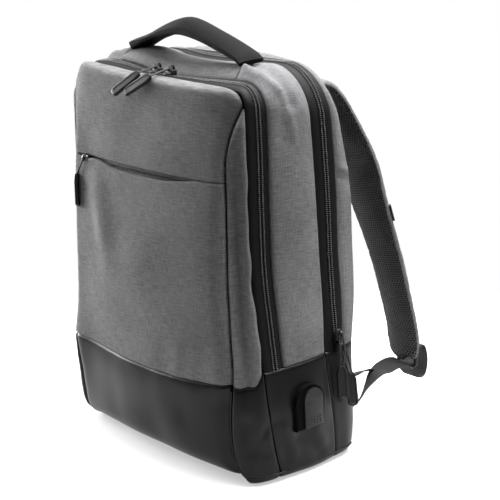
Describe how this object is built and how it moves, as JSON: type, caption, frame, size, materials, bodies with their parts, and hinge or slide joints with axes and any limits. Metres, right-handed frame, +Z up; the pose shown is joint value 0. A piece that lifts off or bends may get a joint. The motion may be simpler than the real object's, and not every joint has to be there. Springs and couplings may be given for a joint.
{
  "type": "laptop backpack",
  "caption": "Upright two-tone laptop backpack with arched zips, a slit front pocket, padded handle and shoulder straps, a coated base and a charging port on its side.",
  "frame": {"origin": "middle of the flat base, on the surface that the bag stands on", "axes": "+Z up, -Y towards the front pocket, +X towards the side with the charging port"},
  "size_m": [0.3515, 0.3456, 0.4832],
  "materials": {
    "grey_cloth": "matte",
    "coated_cloth": "satin",
    "handle_cloth": "matte",
    "spacer_mesh": "matte",
    "zip_tape": "matte",
    "webbing": "matte",
    "buckle_plastic": "satin",
    "pull_rubber": "matte",
    "slider_metal": "satin"
  },
  "bodies": {
    "root": {"base_front": "coated_cloth", "front_lower": "grey_cloth", "front_upper": "grey_cloth", "pocket_zip": "zip_tape", "front_gusset_right": "grey_cloth", "front_gusset_left": "grey_cloth", "base_gusset_right": "coated_cloth", "base_gusset_left": "coated_cloth", "front_zip": "zip_tape", "main_zip": "zip_tape", "top_panel": "grey_cloth", "main_gusset_right": "grey_cloth", "main_gusset_left": "grey_cloth", "base_side_right": "coated_cloth", "base_side_left": "coated_cloth", "base_rear_right": "coated_cloth", "base_rear_left": "coated_cloth", "rear_gusset": "grey_cloth", "back_panel": "spacer_mesh", "base_bottom": "coated_cloth", "handle": "handle_cloth", "strap_right": "spacer_mesh", "strap_left": "spacer_mesh", "strap_keeper_right": "webbing", "strap_keeper_left": "webbing", "ladder_lock_right": "buckle_plastic", "ladder_lock_left": "buckle_plastic", "webbing_right": "webbing", "webbing_left": "webbing", "front_zip_first_slider": "slider_metal", "front_zip_first_pull": "pull_rubber", "front_zip_second_slider": "slider_metal", "front_zip_second_pull": "pull_rubber", "main_zip_first_slider": "slider_metal", "main_zip_first_pull": "pull_rubber", "main_zip_second_slider": "slider_metal", "main_zip_second_pull": "pull_rubber", "pocket_slider": "slider_metal", "pocket_pull": "pull_rubber", "usb_port": "buckle_plastic", "usb_flap": "pull_rubber"}
  },
  "joints": []
}
